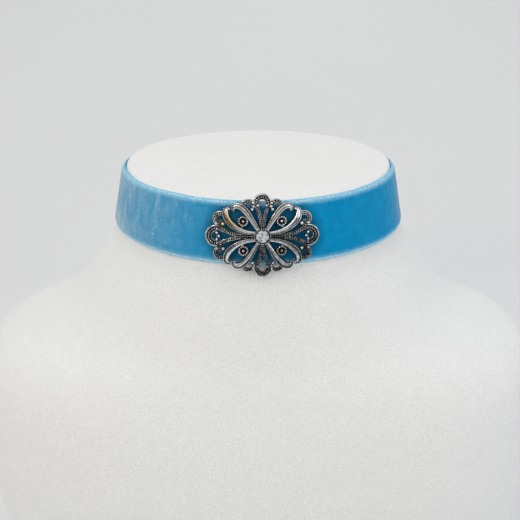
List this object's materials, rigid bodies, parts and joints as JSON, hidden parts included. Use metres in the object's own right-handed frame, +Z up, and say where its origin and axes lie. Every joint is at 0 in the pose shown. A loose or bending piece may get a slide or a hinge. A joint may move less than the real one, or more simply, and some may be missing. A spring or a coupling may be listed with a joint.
{
  "type": "choker necklace on a neck bust",
  "caption": "Velvet ribbon choker with a pierced antique-silver ornament set with a clear stone, worn round a plain pale neck bust.",
  "frame": {"origin": "on the bust's flat base, under the neck's axis", "axes": "+Z up along the neck, -Y towards the front with the ornament, +X to the right as the front is seen"},
  "size_m": [0.224, 0.1347, 0.1841],
  "materials": {
    "bust_flock": "off-white flocked display bust with a fine suede grain",
    "velvet": "turquoise-blue velvet pile with pale woven edges",
    "antique_silver": "antique silver, dark in the recesses and worn bright on the ridges",
    "crystal": "clear faceted crystal with a bright backing"
  },
  "bodies": {
    "root": {"neck_bust": "bust_flock", "velvet_ribbon": "velvet", "back_clasp": "antique_silver", "filigree_ornament": "antique_silver", "clear_stone": "crystal"}
  },
  "joints": []
}
